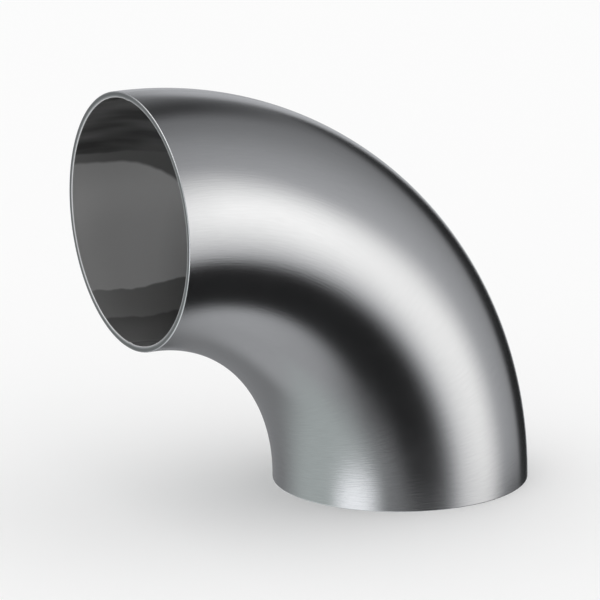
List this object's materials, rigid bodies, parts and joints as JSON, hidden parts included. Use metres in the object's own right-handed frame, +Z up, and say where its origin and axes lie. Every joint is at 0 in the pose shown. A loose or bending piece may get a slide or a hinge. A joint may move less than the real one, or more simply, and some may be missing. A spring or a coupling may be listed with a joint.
{
  "type": "pipe elbow",
  "caption": "Thin-walled ninety degree stainless steel pipe elbow with a round bore and plain ends for butt welding.",
  "frame": {"origin": "bottom centre of the elbow's box, in the plane of the outlet mouth, which it stands on", "axes": "+Z up, away from the outlet mouth; -X out of the inlet mouth; the bend lies in the XZ plane, and Y runs across the tube"},
  "size_m": [0.1278, 0.076, 0.1276],
  "materials": {
    "near_shell": "satin outside, with fine brush lines; no brush lines in the bore, which is a little more matt, with darker bands that run lengthwise",
    "far_shell": "satin outside, with fine brush lines; no brush lines in the bore, which is a little more matt, with darker bands that run lengthwise",
    "heel_weld": "ground flush and brushed with the shells",
    "throat_weld": "ground flush and brushed with the shells"
  },
  "bodies": {
    "root": {"near_half_shell": "near_shell", "far_half_shell": "far_shell", "heel_seam_weld": "heel_weld", "throat_seam_weld": "throat_weld"}
  },
  "joints": []
}
